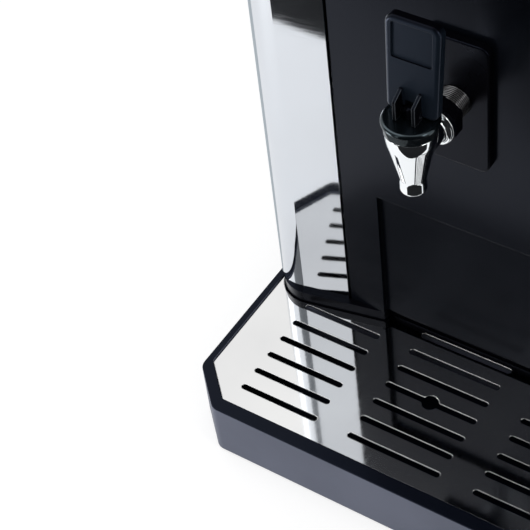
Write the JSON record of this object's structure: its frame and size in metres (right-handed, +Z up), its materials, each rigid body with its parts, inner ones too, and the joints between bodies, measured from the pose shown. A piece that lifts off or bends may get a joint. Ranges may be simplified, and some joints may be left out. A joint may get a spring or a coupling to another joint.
{
  "type": "electric water boiler",
  "caption": "Upright countertop water boiler: polished steel casing with flared front wings, black front panel, self-closing lever tap and a drip tray under a slotted grille.",
  "frame": {"origin": "on the table, at the middle of the machine's outline in plan", "axes": "+Z up, the front with the tap and drip tray faces -Y, +X is to the right as seen from the front"},
  "size_m": [0.311, 0.48, 0.537],
  "materials": {
    "polished_steel": "polished",
    "plain_steel": "satin",
    "chrome": "polished",
    "panel_black": "gloss",
    "moulded_black": "satin",
    "lever_black": "satin",
    "plain_black": "matte",
    "rubber": "matte",
    "silicone": "matte",
    "foam": "matte",
    "brass": "satin",
    "white_plastic": "matte",
    "board_green": "satin",
    "lens": "gloss",
    "red_plastic": "satin"
  },
  "bodies": {
    "machine": {"base_plinth": "moulded_black", "feet": "rubber", "body_wrap": "polished_steel", "top_cover": "polished_steel", "rear_cover": "plain_steel", "rear_screws": "plain_steel", "front_panel": "panel_black", "status_lights": "lens", "status_board": "board_green", "switch_housing": "plain_black", "tap_body": "chrome", "tap_bonnet": "lever_black", "tap_jam_nut": "plain_black", "tap_backplate": "lever_black", "shank_washer": "plain_steel", "shank_locknut": "brass", "tap_spring": "plain_steel", "tank": "plain_steel", "tank_gasket": "silicone", "tank_lid": "plain_steel", "lid_bolts": "plain_steel", "insulation_jacket": "foam", "overheat_cutout": "white_plastic", "tank_stand": "plain_steel", "heating_element": "plain_steel", "level_probes": "plain_steel", "temperature_probe": "plain_steel", "outlet_hose": "silicone", "hose_clips": "plain_steel", "inlet_valve": "white_plastic", "valve_coil": "plain_black", "fill_hose": "silicone", "overflow_pipe": "plain_steel", "cable_gland": "plain_black", "power_board": "board_green", "terminal_block": "white_plastic"},
    "drip_tray": {"drip_tray": "moulded_black"},
    "drip_grille": {"drip_grille": "polished_steel"},
    "tap_lever": {"tap_lever": "lever_black"},
    "tap_stem": {"tap_stem": "plain_steel", "lever_pin": "plain_steel", "seat_cup": "silicone"},
    "switch_rocker": {"switch_rocker": "red_plastic"},
    "reset_button": {"reset_button": "red_plastic"}
  },
  "joints": [
    {"name": "lever_pull", "type": "hinge", "parent": "machine", "child": "tap_lever", "pos_m": [0, -0.1782, 0.3131], "axis": [1, 0, 0], "range_deg": [0, 30], "stiffness_Nm_per_rad": 0.35, "springref_deg": -20.05},
    {"name": "stem_lift", "type": "slide", "parent": "machine", "child": "tap_stem", "axis": [0, 0, 1], "range_m": [0, 0.0043], "stiffness_N_per_m": 2, "springref_m": 0.056, "deforming": ["tap_spring"]},
    {"name": "tray_slide", "type": "slide", "parent": "machine", "child": "drip_tray", "axis": [0, -1, 0], "range_m": [0, 0.15]},
    {"name": "grille_tilt", "type": "hinge", "parent": "drip_tray", "child": "drip_grille", "pos_m": [0, -0.10769, 0.0424], "axis": [-1, 0, 0], "range_deg": [0, 12]},
    {"name": "rocker_tilt", "type": "hinge", "parent": "machine", "child": "switch_rocker", "pos_m": [0, -0.109, 0.452], "axis": [1, 0, 0], "range_deg": [0, 16]},
    {"name": "reset_press", "type": "slide", "parent": "machine", "child": "reset_button", "axis": [0, -1, 0], "range_m": [0, 0.002], "stiffness_N_per_m": 400, "springref_m": -0.002}
  ],
  "couplings": [
    {"joint": "stem_lift", "follows": "lever_pull", "m_per_rad": 0.00805}
  ]
}
